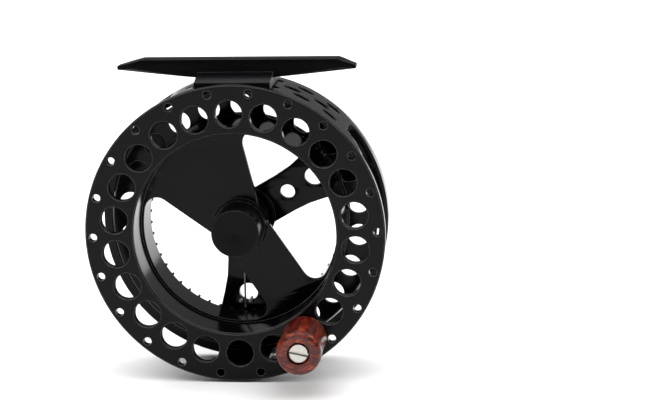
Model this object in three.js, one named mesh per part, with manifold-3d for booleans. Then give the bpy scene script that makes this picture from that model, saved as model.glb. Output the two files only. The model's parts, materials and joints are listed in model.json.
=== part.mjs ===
// Click-drag fly reel: skeleton frame with a T foot, a perforated large-arbor spool and a wooden knob.
// Millimetres, +Z up. The origin is the centre of the foot's flat top. The spool turns about Y.
// Inside the reel group the spool axis is the Y axis, y = 0 is the face of the front flange,
// and y grows towards the back of the frame. Angles run in the XZ plane, 0 at +X and 90 at +Z.
import * as THREE from "three";
import { mergeVertices } from "three/addons/utils/BufferGeometryUtils.js";
import Module from "manifold-3d";

const wasm = await Module();
wasm.setup();

// ---- driving dimensions ----
const GAP = 0.3; // clearance between separate pieces
const REACH = 1; // how far a cutter passes beyond the face it cuts
const OVERLAP = 0.2; // how far joined bodies run into each other

// spool
const FLANGE_R = 40; // front flange radius, which sets the reel's size
const FLANGE_T = 2.4;
const ARBOR_R_IN = 27; // in front of the web
const REAR_BORE_R = 26.3; // behind the web, so that a narrow ledge runs round the wall
const ARBOR_R_OUT = 28.3;
const SEAT_R_IN = 28.25; // seat of the click ring
const SEAT_R_OUT = 29.1;
const SEAT_Y = 23.3;
const ARBOR_END_Y = 24.8;
const REAR_FLANGE_R = 36.5;
const REAR_FLANGE_Y = 21.2;
const REAR_FLANGE_T = 1;
const HOLE_COUNT = 22;
const HOLE_R = 3.55;
const HOLE_CIRCLE_R = 32.3;
const HOLE_START = 91.2; // degrees
const REAR_HOLE_R = 2.95;
const REAR_HOLE_CIRCLE_R = 31.75;
const REAR_HOLE_START = 90.1;
const PIN_HOLE_R = 1.07; // small holes near the rim, half a pitch from the large ones
const PIN_HOLE_CIRCLE_R = 37.9;
const EDGE = 0.45; // small chamfer on machined edges
const ROUND = 64; // sides of the large turned surfaces
const HOLE_SIDES = 14;
const PIN_HOLE_SIDES = 6;

// web: a bar towards the handle and a fan opposite it
const WEB_Y = 12.2;
const WEB_T = 2;
const WEB_ANGLE = -56; // degrees, direction of the handle bar
const BAR_HALF = 6.7;
const FAN_SLOPE = 0.373; // half-width gained per millimetre of radius
const WEB_FILLET = 3.3;
const WEB_FILLET_STEPS = 5;
const WEB_INTO_WALL = 0.5; // how far the web runs into the arbor wall

// hub and cap
const HUB_BORE_R = 4.3;
const HUB_TUBE_R = 5.2;
const HUB_FRONT_Y = 3.2;
const HUB_BOSS_R = 7.3;
const HUB_REAR_R = 6.4;
const HUB_REAR_Y = 23.2;
const HUB_SIDES = 36;
const CAP_R = 6.4;
const CAP_FRONT_Y = 1.4;
const CAP_REAR_Y = 9.6;
const CAP_CHAMFER = 0.2;
const CAP_WALL_Y = 2.6; // inner face of the cap's end
const O_RING_T = 0.18;

// spindle, bushings and washers
const SPINDLE_R = 2.5;
const SPINDLE_FRONT_Y = 5;
const SPINDLE_REAR_Y = 27;
const SPINDLE_TAP_R = 1.5; // threaded hole in the front end
const SPINDLE_TAP_END_Y = 11.9;
const SPINDLE_REAR_TAP_R = 1.3;
const SPINDLE_REAR_TAP_Y = 21;
const SPIGOT_R = 2.2; // end of the spindle inside the frame's boss
const COLLAR_R = 4.2;
const COLLAR_Y = 23.9;
const RUN = 0.2; // running clearance in the bushings
const BUSHING_LENGTH = 4;
const BUSHING_FRONT_Y = 5.3;
const BUSHING_REAR_Y = 18.8;
const THRUST_R = 5.8;
const THRUST_Y = 23.35;
const THRUST_T = 0.4;
const RETAINER_R = 4;
const RETAINER_Y = 4.3;
const RETAINER_T = 0.5;

// handle
const HANDLE_ANGLE = -56.4; // degrees
const HANDLE_CIRCLE_R = 33;
const KNOB_R_BASE = 5.9;
const KNOB_R_WAIST = 5.7;
const KNOB_R_TIP = 5.95;
const KNOB_LENGTH = 16.8;
const KNOB_BASE_Y = -0.8;
const KNOB_TIP_Y = KNOB_BASE_Y - KNOB_LENGTH;
const KNOB_SIDES = 24;
const POST_R = 1.6;
const POST_TAP_R = 1.1;
const POST_TAP_DEPTH = 6;
const POST_HEAD_R = 2.6;
const POST_HEAD_T = 0.6;
const SLEEVE_R = 2.3;
const SLEEVE_INSET = 3; // from the knob's tip to the sleeve and the post
const COUNTERBORE_R = 2.95;
const COUNTERBORE_DEPTH = 1.5;
const HANDLE_WASHER_R = 4.6;
const HANDLE_WASHER_Y = -0.55;

// click mechanism
const TEETH = 52;
const TOOTH_TIP_R = 26.1;
const SCALLOP_R = 1.3;
const SCALLOP_SIDES = 8;
const CLICK_RING_Y = 23.6;
const CLICK_RING_T = 1.2;
const SPRING_SCREW_R = 11.6; // distance of the wire's screw from the spool axis
const SPRING_EYE_R = 1.9;
const SPRING_EYE_BORE_R = 1.3;
const SPRING_TIP_R = 25.45; // the tip stands just inside the tooth tips
const SPRING_BEAD_R = 0.4;
const SPRING_WIRE_R = 0.3;
const SPRING_Y = 24.6;
const SPRING_X = -0.8; // the wire leaves one side of its screw
const CLICK_PIN_X = [SPRING_X - 1.4, SPRING_X + 1.4];
const CLICK_PIN_CIRCLE_R = 23.9;
const CLICK_PIN_R = 0.45;
const CLICK_PIN_HOLE_R = 0.75;
const CLICK_PIN_Y = [23.8, 28.2];

// frame
const FRAME_R = 39.35;
const FRAME_R_IN = 36.9;
const FRAME_FRONT_Y = 2.9;
const FRAME_REAR_Y = 28.5;
const RING_Y = 23;
const ARM_Y = 25.5;
const ARM_ANGLES = [30, 150, 270];
// half-width of an arm at each radius: narrow at the hub, widening into the ring
const ARM_PROFILE = [
  [5, 5.4], [12.5, 5.5], [17, 5.8], [21.5, 6.7],
  [25.5, 7.7], [30, 9], [34, 10.6], [37.4, 12.6],
];
const ARM_HOLE_R = 2.55;
const ARM_HOLE_CIRCLE_R = 21.8;
const ARM_INNER_HOLE_R = 2;
const ARM_INNER_HOLE_CIRCLE_R = 13.3;
const SPRING_SCREW_HOLE_R = 0.9;
const BOSS_R = 8;
const BOSS_BORE_R = 2.6;
const BOSS_COUNTERBORE_R = 3.5;
const BOSS_COUNTERBORE_DEPTH = 1.4;
const BOSS_Y = 25;
const BAND_FROM = 42; // degrees
const BAND_TO = 118;
const BAND_R_IN = 37.7;
const PILLAR_HALF = 10.5; // degrees either side of straight down
// the band's front corner tapers on round the rim as a horn along the front edge
const HORN_OUTLINE = [[-1, 2.9], [-1, 11.5], [0.5, 11.4], [3.5, 10.2], [6.5, 8.1], [9, 5.6], [11, 2.9]];
const SLOT_LENGTH = 7.2; // degrees
const SLOT_PITCH = 13;
const SLOT_HALF_WIDTH = 1.6;
const SLOTS_IN_ROW = 5;
const SLOT_ROWS = [
  { y: 10.5, first: 50.5 },
  { y: 16.4, first: 55.3 },
  { y: 22.2, first: 50.5 },
];

// foot
const AXIS_DROP = 45.3; // foot top to spool axis
const FOOT_Y = 14; // middle of the foot along the axis
const FOOT_W = 6.2;
const FOOT_HALF = 32;
const FOOT_FLAT_X = [-25.3, 27.2]; // the left end ramps down more gently
const FOOT_TIP_TOP = 1.8; // the ramps drop this far by the tips
const FOOT_TIP_T = 1;
const FOOT_UNDER_STEM = 4.9; // underside depth beside the stem
const FOOT_CORNER = 1.2; // corners cut off the tips
const STEM_HALF = 10.1;
const STEM_FOOT_R = 39.65; // the stem's saddle rests on the band
const STEM_SADDLE_STEPS = 8;
const FLARE_HALF_W = 11.1; // the stem spreads to this width along the axis where it meets the band
const FLARE_EDGE_Z = 40.1; // top of the flare's thin edges above the spool axis
const FLARE_TOP_Z = 42;
const FOOT_SCREW_X = [-4.1, 4.8]; // between the band's slots
const FOOT_SCREW_R = 0.9;
const FOOT_SCREW_HOLE_R = 1.2;
const FOOT_SCREW_HEAD_R = 1.2;
const FOOT_SCREW_FROM = 36.9; // heights above the spool axis
const FOOT_SCREW_TO = 42.6;
const FOOT_SCREW_HEAD_T = 0.7;
const BAND_SCREW_HOLE_R = 1.5;

const rad = THREE.MathUtils.degToRad;
const polar = (r, deg) => [r * Math.cos(rad(deg)), r * Math.sin(rad(deg))];

// ---- materials ----
const material = (color, roughness, metalness) =>
  new THREE.MeshStandardMaterial({ color, roughness, metalness });
const anodised = material(0x16161a, 0.38, 0.7);
const glossBlack = material(0x0c0c0e, 0.22, 0.6);
const steel = material(0xb9b7b0, 0.3, 1);
const springSteel = material(0x8f8f8c, 0.35, 1);
const bronze = material(0x9a6b35, 0.4, 1);
const wood = material(0x7a2413, 0.3, 0);
const rubber = material(0x101010, 0.8, 0);
const polymer = material(0xd8d2c4, 0.5, 0);

// ---- solids ----
function solid(geometry) {
  const bare = geometry.clone();
  bare.deleteAttribute("normal");
  bare.deleteAttribute("uv");
  const merged = mergeVertices(bare, 1e-4);
  return new wasm.Manifold(new wasm.Mesh({
    numProp: 3,
    vertProperties: new Float32Array(merged.attributes.position.array),
    triVerts: new Uint32Array(merged.index.array),
  }));
}

function geometryOf(body) {
  const mesh = body.getMesh();
  const geometry = new THREE.BufferGeometry();
  geometry.setAttribute("position", new THREE.BufferAttribute(mesh.vertProperties, 3));
  geometry.setIndex(new THREE.BufferAttribute(mesh.triVerts, 1));
  geometry.computeVertexNormals();
  return geometry;
}

const unite = (bodies) => bodies.reduce((all, body) => all.add(body));
const cutAll = (body, cutters) => cutters.reduce((left, cutter) => left.subtract(cutter), body);

// a body of revolution about Y from closed [radius, y] points
function turned(points, segments) {
  const profile = points.map(([r, y]) => new THREE.Vector2(r, y));
  profile.push(profile[0].clone());
  return solid(orientedLathe(profile, segments));
}

// LatheGeometry faces out when its profile runs counter-clockwise, so the profile is put that way round
function orientedLathe(profile, segments) {
  let area = 0;
  for (let i = 0; i < profile.length - 1; i += 1) {
    area += profile[i].x * profile[i + 1].y - profile[i + 1].x * profile[i].y;
  }
  const ordered = area > 0 ? profile : profile.slice().reverse();
  const onAxis = ordered.some((p) => p.x === 0);
  const open = onAxis ? openAtAxis(ordered) : ordered;
  return new THREE.LatheGeometry(open, segments);
}

// a profile that touches the axis starts and ends there
function openAtAxis(ordered) {
  const loop = ordered.slice(0, -1);
  const start = loop.findIndex((p, i) => p.x === 0 && loop[(i + 1) % loop.length].x > 0);
  return [...loop.slice(start), ...loop.slice(0, start)];
}

const ring = (rIn, rOut, y0, y1, segments = 24) =>
  turned([[rIn, y0], [rOut, y0], [rOut, y1], [rIn, y1]], segments);

function cylinder(x, z, radius, y0, y1, segments) {
  const geometry = new THREE.CylinderGeometry(radius, radius, y1 - y0, segments);
  geometry.translate(x, (y0 + y1) / 2, z);
  return solid(geometry);
}

// a cylinder standing along Z, in the middle of the foot's width
function uprightCylinder(x, radius, z0, z1, segments) {
  const geometry = new THREE.CylinderGeometry(radius, radius, z1 - z0, segments);
  geometry.rotateX(Math.PI / 2);
  geometry.translate(x, FOOT_Y, (z0 + z1) / 2);
  return solid(geometry);
}

// a shape drawn in XZ, given thickness from y0 to y1
function plate(shape, y0, y1) {
  const geometry = new THREE.ExtrudeGeometry(shape, { depth: y1 - y0, bevelEnabled: false });
  geometry.rotateX(Math.PI / 2);
  geometry.translate(0, y1, 0);
  return solid(geometry);
}

const shapeOf = (points) => new THREE.Shape(points.map(([x, z]) => new THREE.Vector2(x, z)));

// points along an arc about the spool axis
function arcPoints(radius, fromDeg, toDeg, steps) {
  const step = (toDeg - fromDeg) / steps;
  return Array.from({ length: steps + 1 }, (_, i) => polar(radius, fromDeg + step * i));
}

function sector(r0, r1, fromDeg, toDeg, y0, y1, steps) {
  const outline = [...arcPoints(r1, fromDeg, toDeg, steps), ...arcPoints(r0, toDeg, fromDeg, steps)];
  return plate(shapeOf(outline), y0, y1);
}

// a slotted screw along Y: its head's face is at headY and its shank runs to tipY
function buildScrew({ x = 0, z = 0, headR, shankR, headY, headT, tipY, slotTurn, slotWidth, slotDepth }) {
  const inward = Math.sign(tipY - headY);
  const underHead = headY + inward * headT;
  const [headLow, headHigh] = [headY, underHead].sort((a, b) => a - b);
  const [shankLow, shankHigh] = [underHead - inward * OVERLAP, tipY].sort((a, b) => a - b);
  const body = unite([
    cylinder(x, z, headR, headLow, headHigh, 24),
    cylinder(x, z, shankR, shankLow, shankHigh, 14),
  ]);
  const slot = new THREE.BoxGeometry((headR + REACH) * 2, slotDepth * 2, slotWidth);
  slot.rotateY(-rad(slotTurn));
  slot.translate(x, headY, z);
  return body.subtract(solid(slot));
}

const reel = new THREE.Group();
reel.position.set(0, -FOOT_Y, -AXIS_DROP);

function addPiece(parent, name, body, look) {
  const mesh = new THREE.Mesh(geometryOf(body), look);
  mesh.name = name;
  parent.add(mesh);
}

// ---- spool ----
function ringOfHoles(count, start, circleR, holeR, y0, y1, sides) {
  return Array.from({ length: count }, (_, i) => {
    const [x, z] = polar(circleR, start - (360 / count) * i);
    return cylinder(x, z, holeR, y0 - REACH, y1 + REACH, sides);
  });
}

// the hole nearest the handle is left out, because the handle's post stands there
function frontHoles() {
  const pitch = 360 / HOLE_COUNT;
  const taken = Math.round((HOLE_START - HANDLE_ANGLE) / pitch);
  const all = ringOfHoles(HOLE_COUNT, HOLE_START, HOLE_CIRCLE_R, HOLE_R, 0, FLANGE_T, HOLE_SIDES);
  return all.filter((_, i) => i !== taken);
}

// a web arm from the axis outwards, in its own frame: u along the arm, v across it
function webOutline(slope) {
  const tipU = REAR_BORE_R + WEB_INTO_WALL;
  const tipHalf = BAR_HALF + slope * tipU;
  return [[0, -BAR_HALF], [tipU, -tipHalf], [tipU, tipHalf], [0, BAR_HALF]];
}

// concave corner between a web edge and the arbor wall, on the side of positive v
function cornerWedge(slope) {
  const edge = Math.atan(slope);
  const reach = REAR_BORE_R - WEB_FILLET; // the fillet's centre lies this far from the axis
  const offset = BAR_HALF + WEB_FILLET / Math.cos(edge); // and on this line beside the edge
  const square = 1 + slope * slope;
  const root = Math.sqrt((offset * slope) ** 2 - square * (offset * offset - reach * reach));
  const centreU = (root - offset * slope) / square;
  const centreV = offset + slope * centreU;
  const wall = Math.atan2(centreV, centreU); // direction of the touching point on the wall
  const start = edge - Math.PI / 2;
  const arc = Array.from({ length: WEB_FILLET_STEPS + 1 }, (_, i) => {
    const angle = start + ((wall - start) * i) / WEB_FILLET_STEPS;
    return [centreU + WEB_FILLET * Math.cos(angle), centreV + WEB_FILLET * Math.sin(angle)];
  });
  const outerR = REAR_BORE_R + WEB_INTO_WALL;
  const onWall = [outerR * Math.cos(wall), outerR * Math.sin(wall)];
  const edgeU = outerR * Math.cos(wall / 2);
  const inArm = [edgeU, BAR_HALF + slope * edgeU - OVERLAP];
  const touch = [arc[0][0], arc[0][1] - OVERLAP];
  return [...arc, onWall, inArm, touch];
}

// points of an arm's own frame placed at an angle, mirrored across the arm when mirror is -1
function turnedTo(points, deg, mirror) {
  const [c, s] = polar(1, deg);
  const placed = points.map(([u, v]) => [u * c - v * mirror * s, u * s + v * mirror * c]);
  return mirror > 0 ? placed : placed.reverse();
}

function webArm(deg, slope) {
  const outlines = [
    turnedTo(webOutline(slope), deg, 1),
    turnedTo(cornerWedge(slope), deg, 1),
    turnedTo(cornerWedge(slope), deg, -1),
  ];
  return unite(outlines.map((points) => plate(shapeOf(points), WEB_Y, WEB_Y + WEB_T)));
}

function buildSpool() {
  const frontFlange = turned([
    [ARBOR_R_IN + EDGE, 0],
    [FLANGE_R - EDGE, 0],
    [FLANGE_R, EDGE],
    [FLANGE_R, FLANGE_T - EDGE],
    [FLANGE_R - EDGE, FLANGE_T],
    [ARBOR_R_IN, FLANGE_T],
    [ARBOR_R_IN, EDGE],
  ], ROUND);
  const arbor = turned([
    [ARBOR_R_IN, FLANGE_T - OVERLAP],
    [ARBOR_R_OUT, FLANGE_T - OVERLAP],
    [ARBOR_R_OUT, REAR_FLANGE_Y + OVERLAP],
    [SEAT_R_OUT, REAR_FLANGE_Y + OVERLAP],
    [SEAT_R_OUT, ARBOR_END_Y],
    [SEAT_R_IN, ARBOR_END_Y],
    [SEAT_R_IN, SEAT_Y],
    [REAR_BORE_R, SEAT_Y],
    [REAR_BORE_R, WEB_Y],
    [ARBOR_R_IN, WEB_Y],
  ], ROUND);
  const rearFlange = ring(
    ARBOR_R_OUT - OVERLAP, REAR_FLANGE_R, REAR_FLANGE_Y, REAR_FLANGE_Y + REAR_FLANGE_T, ROUND,
  );
  const webLimit = cylinder(0, 0, REAR_BORE_R + OVERLAP, WEB_Y, WEB_Y + WEB_T, ROUND);
  const hubBore = cylinder(0, 0, HUB_BORE_R, WEB_Y - REACH, WEB_Y + WEB_T + REACH, HUB_SIDES);
  const arms = unite([webArm(WEB_ANGLE, 0), webArm(WEB_ANGLE + 180, FAN_SLOPE)]);
  const web = arms.intersect(webLimit).subtract(hubBore);
  const hub = turned([
    [HUB_BORE_R, HUB_FRONT_Y],
    [HUB_TUBE_R, HUB_FRONT_Y],
    [HUB_TUBE_R, CAP_REAR_Y + GAP],
    [HUB_BOSS_R, CAP_REAR_Y + GAP],
    [HUB_BOSS_R, WEB_Y + REACH],
    [HUB_REAR_R, WEB_Y + REACH],
    [HUB_REAR_R, HUB_REAR_Y],
    [HUB_BORE_R, HUB_REAR_Y],
  ], HUB_SIDES);
  const rimStart = HOLE_START - 180 / HOLE_COUNT;
  const postAt = polar(HANDLE_CIRCLE_R, HANDLE_ANGLE);
  return cutAll(unite([frontFlange, arbor, rearFlange, web, hub]), [
    ...frontHoles(),
    ...ringOfHoles(
      HOLE_COUNT, REAR_HOLE_START, REAR_HOLE_CIRCLE_R, REAR_HOLE_R,
      REAR_FLANGE_Y, REAR_FLANGE_Y + REAR_FLANGE_T, HOLE_SIDES,
    ),
    ...ringOfHoles(HOLE_COUNT, rimStart, PIN_HOLE_CIRCLE_R, PIN_HOLE_R, 0, FLANGE_T, PIN_HOLE_SIDES),
    cylinder(...postAt, POST_R + GAP, -REACH, FLANGE_T + REACH, 16),
  ]);
}

function buildClickRing() {
  const clickRearY = CLICK_RING_Y + CLICK_RING_T;
  const blank = ring(TOOTH_TIP_R, SEAT_R_IN - GAP, CLICK_RING_Y, clickRearY, TEETH);
  const scallops = ringOfHoles(
    TEETH, -90, TOOTH_TIP_R, SCALLOP_R, CLICK_RING_Y, clickRearY, SCALLOP_SIDES,
  );
  return cutAll(blank, scallops);
}

function buildHubCap() {
  return turned([
    [0, CAP_FRONT_Y],
    [CAP_R - CAP_CHAMFER, CAP_FRONT_Y],
    [CAP_R, CAP_FRONT_Y + CAP_CHAMFER],
    [CAP_R, CAP_REAR_Y],
    [HUB_TUBE_R + GAP, CAP_REAR_Y],
    [HUB_TUBE_R + GAP, CAP_WALL_Y],
    [0, CAP_WALL_Y],
  ], 32);
}

function buildCapRing() {
  const middleY = CAP_REAR_Y + GAP / 2;
  return ring(HUB_TUBE_R + GAP, CAP_R, middleY - O_RING_T / 2, middleY + O_RING_T / 2);
}

const buildBushing = (y) => ring(SPINDLE_R + RUN, HUB_BORE_R - RUN, y, y + BUSHING_LENGTH);

function buildSpindle() {
  return turned([
    [SPINDLE_TAP_R, SPINDLE_FRONT_Y],
    [SPINDLE_R, SPINDLE_FRONT_Y],
    [SPINDLE_R, COLLAR_Y],
    [COLLAR_R, COLLAR_Y],
    [COLLAR_R, BOSS_Y - GAP],
    [SPIGOT_R, BOSS_Y - GAP],
    [SPIGOT_R, SPINDLE_REAR_Y],
    [SPINDLE_REAR_TAP_R, SPINDLE_REAR_Y],
    [SPINDLE_REAR_TAP_R, SPINDLE_REAR_TAP_Y],
    [0, SPINDLE_REAR_TAP_Y],
    [0, SPINDLE_TAP_END_Y],
    [SPINDLE_TAP_R, SPINDLE_TAP_END_Y],
  ], 28);
}

const retainingScrew = {
  headR: 3.3,
  shankR: 1.2,
  headY: 2.9,
  headT: 1.1,
  tipY: 11.4,
  slotTurn: 20,
  slotWidth: 1,
  slotDepth: 0.6,
};
const spindleScrew = {
  headR: 3.2,
  shankR: 1.05,
  headY: 28.9,
  headT: 1.5,
  tipY: 21.4,
  slotTurn: 35,
  slotWidth: 1,
  slotDepth: 0.6,
};

addPiece(reel, "spool", buildSpool(), anodised);
addPiece(reel, "click_ring", buildClickRing(), anodised);
addPiece(reel, "hub_cap", buildHubCap(), glossBlack);
addPiece(reel, "cap_o_ring", buildCapRing(), rubber);
addPiece(reel, "bushing_front", buildBushing(BUSHING_FRONT_Y), bronze);
addPiece(reel, "bushing_rear", buildBushing(BUSHING_REAR_Y), bronze);
addPiece(reel, "thrust_washer", ring(SPINDLE_R + GAP, THRUST_R, THRUST_Y, THRUST_Y + THRUST_T), polymer);
addPiece(
  reel,
  "retaining_washer",
  ring(SPINDLE_TAP_R, RETAINER_R, RETAINER_Y, RETAINER_Y + RETAINER_T),
  springSteel,
);
addPiece(reel, "retaining_screw", buildScrew(retainingScrew), steel);
addPiece(reel, "spindle", buildSpindle(), steel);
addPiece(reel, "spindle_screw", buildScrew(spindleScrew), steel);

// ---- handle ----
const handleAt = polar(HANDLE_CIRCLE_R, HANDLE_ANGLE);
const handle = new THREE.Group();
handle.position.set(handleAt[0], 0, handleAt[1]);
reel.add(handle);

// [radius, distance from the base] up the outside of the knob, the last four rounding its tip
const KNOB_PROFILE = [
  [KNOB_R_BASE - 0.3, 0],
  [KNOB_R_BASE, 0.4],
  [KNOB_R_WAIST, 6],
  [KNOB_R_TIP, KNOB_LENGTH - 3.5],
  [KNOB_R_TIP, KNOB_LENGTH - 1.1],
  [KNOB_R_TIP - 0.3, KNOB_LENGTH - 0.35],
  [KNOB_R_TIP - 1.1, KNOB_LENGTH],
];

function buildKnob() {
  const seatY = KNOB_TIP_Y + COUNTERBORE_DEPTH;
  return turned([
    [SLEEVE_R + GAP, KNOB_BASE_Y],
    ...KNOB_PROFILE.map(([r, along]) => [r, KNOB_BASE_Y - along]),
    [COUNTERBORE_R, KNOB_TIP_Y],
    [COUNTERBORE_R, seatY],
    [SLEEVE_R + GAP, seatY],
  ], KNOB_SIDES);
}

function buildPost() {
  const frontY = KNOB_TIP_Y + SLEEVE_INSET;
  const headY = FLANGE_T + GAP;
  return turned([
    [POST_TAP_R, frontY],
    [POST_R, frontY],
    [POST_R, headY],
    [POST_HEAD_R, headY],
    [POST_HEAD_R, headY + POST_HEAD_T],
    [0, headY + POST_HEAD_T],
    [0, frontY + POST_TAP_DEPTH],
    [POST_TAP_R, frontY + POST_TAP_DEPTH],
  ], 20);
}

const buildSleeve = () =>
  ring(POST_R + GAP, SLEEVE_R, KNOB_TIP_Y + SLEEVE_INSET, KNOB_BASE_Y - OVERLAP);

const handleScrew = {
  headR: 2.5,
  shankR: 0.85,
  headY: KNOB_TIP_Y + 0.5,
  headT: 1.2,
  tipY: KNOB_TIP_Y + 8,
  slotTurn: -12,
  slotWidth: 0.9,
  slotDepth: 0.9,
};

addPiece(handle, "handle_knob", buildKnob(), wood);
addPiece(handle, "handle_bush", buildSleeve(), bronze);
addPiece(handle, "handle_post", buildPost(), steel);
addPiece(handle, "handle_screw", buildScrew(handleScrew), steel);
addPiece(
  handle,
  "handle_washer",
  ring(POST_R + GAP, HANDLE_WASHER_R, HANDLE_WASHER_Y, HANDLE_WASHER_Y + GAP),
  polymer,
);

// ---- frame ----
// a shape drawn round the rim (x is back towards BAND_TO) and along the axis, stood on the rim at an angle
function onRim(shape, deg, y) {
  const depth = 8;
  const geometry = new THREE.ExtrudeGeometry(shape, { depth, bevelEnabled: false, curveSegments: 4 });
  geometry.translate(0, 0, FRAME_R - depth / 2);
  geometry.rotateY(Math.PI / 2 - rad(deg));
  geometry.translate(0, y, 0);
  return solid(geometry);
}

// an obround slot through the band, its long axis round the rim
function bandSlot(centreDeg, y) {
  const halfChord = (SLOT_LENGTH / 2) * rad(1) * FRAME_R - SLOT_HALF_WIDTH;
  const shape = new THREE.Shape();
  shape.absarc(halfChord, 0, SLOT_HALF_WIDTH, -Math.PI / 2, Math.PI / 2, false);
  shape.absarc(-halfChord, 0, SLOT_HALF_WIDTH, Math.PI / 2, (3 * Math.PI) / 2, false);
  return onRim(shape, centreDeg, y);
}

function armPlate(deg) {
  const outline = [
    ...ARM_PROFILE.map(([u, v]) => [u, -v]),
    ...ARM_PROFILE.slice().reverse(),
  ];
  return plate(shapeOf(turnedTo(outline, deg, 1)), ARM_Y, FRAME_REAR_Y);
}

// the bottom arm's inner hole takes the click spring's screw
function armHoles(deg) {
  const forScrew = deg === 270;
  const innerR = forScrew ? SPRING_SCREW_HOLE_R : ARM_INNER_HOLE_R;
  const innerCircleR = forScrew ? SPRING_SCREW_R : ARM_INNER_HOLE_CIRCLE_R;
  return [[ARM_HOLE_CIRCLE_R, ARM_HOLE_R], [innerCircleR, innerR]].map(([circleR, r]) =>
    cylinder(...polar(circleR, deg), r, ARM_Y - REACH, FRAME_REAR_Y + REACH, 18));
}

function buildCage() {
  const rim = turned([
    [FRAME_R_IN, RING_Y],
    [FRAME_R, RING_Y],
    [FRAME_R, FRAME_REAR_Y - EDGE],
    [FRAME_R - EDGE, FRAME_REAR_Y],
    [FRAME_R_IN, FRAME_REAR_Y],
  ], ROUND);
  const wall = (fromDeg, toDeg, steps) =>
    sector(BAND_R_IN, FRAME_R, fromDeg, toDeg, FRAME_FRONT_Y, RING_Y + REACH, steps);
  const band = wall(BAND_FROM, BAND_TO, 18);
  const pillar = wall(270 - PILLAR_HALF, 270 + PILLAR_HALF, 6);
  const hornLimit = ring(BAND_R_IN, FRAME_R, 0, RING_Y, ROUND);
  const horn = onRim(shapeOf(HORN_OUTLINE), BAND_FROM, 0).intersect(hornLimit);
  const boss = cylinder(0, 0, BOSS_R, BOSS_Y, FRAME_REAR_Y, HUB_SIDES);
  const armLimit = cylinder(0, 0, FRAME_R_IN + OVERLAP, ARM_Y, FRAME_REAR_Y, ROUND);
  const arms = unite(ARM_ANGLES.map(armPlate)).intersect(armLimit);
  const counterboreY = FRAME_REAR_Y - BOSS_COUNTERBORE_DEPTH;
  const slots = SLOT_ROWS.flatMap(({ y, first }) =>
    Array.from({ length: SLOTS_IN_ROW }, (_, i) => bandSlot(first + SLOT_PITCH * i, y)));
  const screwHoles = FOOT_SCREW_X.map((x) =>
    uprightCylinder(x, BAND_SCREW_HOLE_R, FRAME_R_IN - 5, FRAME_R + 5, 14));
  const pinHoles = CLICK_PIN_X.map((x) =>
    cylinder(x, -CLICK_PIN_CIRCLE_R, CLICK_PIN_HOLE_R, ARM_Y - REACH, FRAME_REAR_Y + REACH, 10));
  return cutAll(unite([rim, band, pillar, horn, arms, boss]), [
    ...ARM_ANGLES.flatMap(armHoles),
    ...slots,
    ...screwHoles,
    ...pinHoles,
    cylinder(0, 0, BOSS_BORE_R, BOSS_Y - REACH, FRAME_REAR_Y + REACH, HUB_SIDES),
    cylinder(0, 0, BOSS_COUNTERBORE_R, counterboreY, FRAME_REAR_Y + REACH, HUB_SIDES),
  ]);
}

// ---- foot ----
function buildFoot() {
  const top = AXIS_DROP;
  const tipTop = top - FOOT_TIP_TOP;
  const tipUnder = tipTop - FOOT_TIP_T;
  const underStem = top - FOOT_UNDER_STEM;
  const saddle = Array.from({ length: STEM_SADDLE_STEPS + 1 }, (_, i) => {
    const x = -STEM_HALF + (2 * STEM_HALF * i) / STEM_SADDLE_STEPS;
    return [x, Math.sqrt(STEM_FOOT_R ** 2 - x ** 2)];
  });
  const outline = [
    [-FOOT_HALF, tipTop],
    [-FOOT_HALF, tipUnder],
    [-STEM_HALF, underStem],
    ...saddle,
    [STEM_HALF, underStem],
    [FOOT_HALF, tipUnder],
    [FOOT_HALF, tipTop],
    [FOOT_FLAT_X[1], top],
    [FOOT_FLAT_X[0], top],
  ];
  const halfW = FOOT_W / 2;
  const blade = plate(shapeOf(outline), FOOT_Y - halfW, FOOT_Y + halfW);
  const planOutline = [
    [-FOOT_HALF, halfW - FOOT_CORNER],
    [-FOOT_HALF, FOOT_CORNER - halfW],
    [FOOT_CORNER - FOOT_HALF, -halfW],
    [FOOT_HALF - FOOT_CORNER, -halfW],
    [FOOT_HALF, FOOT_CORNER - halfW],
    [FOOT_HALF, halfW - FOOT_CORNER],
    [FOOT_HALF - FOOT_CORNER, halfW],
    [FOOT_CORNER - FOOT_HALF, halfW],
  ];
  const plan = new THREE.ExtrudeGeometry(shapeOf(planOutline), { depth: top, bevelEnabled: false });
  plan.translate(0, FOOT_Y, 0);
  const screwHoles = FOOT_SCREW_X.map((x) =>
    uprightCylinder(x, FOOT_SCREW_HOLE_R, STEM_FOOT_R - 5, FOOT_SCREW_TO + GAP, 14));
  return cutAll(blade.intersect(solid(plan)).add(buildFlare()), screwHoles);
}

// the stem's lower part, sloping out from the blade to both edges of the band
function buildFlare() {
  const bottom = FLARE_EDGE_Z - 3;
  const section = [
    [-FLARE_HALF_W, bottom],
    [FLARE_HALF_W, bottom],
    [FLARE_HALF_W, FLARE_EDGE_Z],
    [FOOT_W / 2 - OVERLAP, FLARE_TOP_Z],
    [OVERLAP - FOOT_W / 2, FLARE_TOP_Z],
    [-FLARE_HALF_W, FLARE_EDGE_Z],
  ];
  const length = STEM_HALF * 2;
  const geometry = new THREE.ExtrudeGeometry(shapeOf(section), { depth: length, bevelEnabled: false });
  geometry.translate(0, 0, -length / 2);
  geometry.rotateX(Math.PI / 2);
  geometry.rotateZ(Math.PI / 2);
  geometry.translate(0, FOOT_Y, 0);
  const saddle = cylinder(0, 0, STEM_FOOT_R, 0, FRAME_REAR_Y, ROUND * 2);
  return solid(geometry).subtract(saddle);
}

function buildFootScrew(x) {
  const headTop = FOOT_SCREW_FROM + FOOT_SCREW_HEAD_T;
  const head = uprightCylinder(x, FOOT_SCREW_HEAD_R, FOOT_SCREW_FROM, headTop, 16);
  return head.add(uprightCylinder(x, FOOT_SCREW_R, FOOT_SCREW_FROM + OVERLAP, FOOT_SCREW_TO, 12));
}

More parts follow.
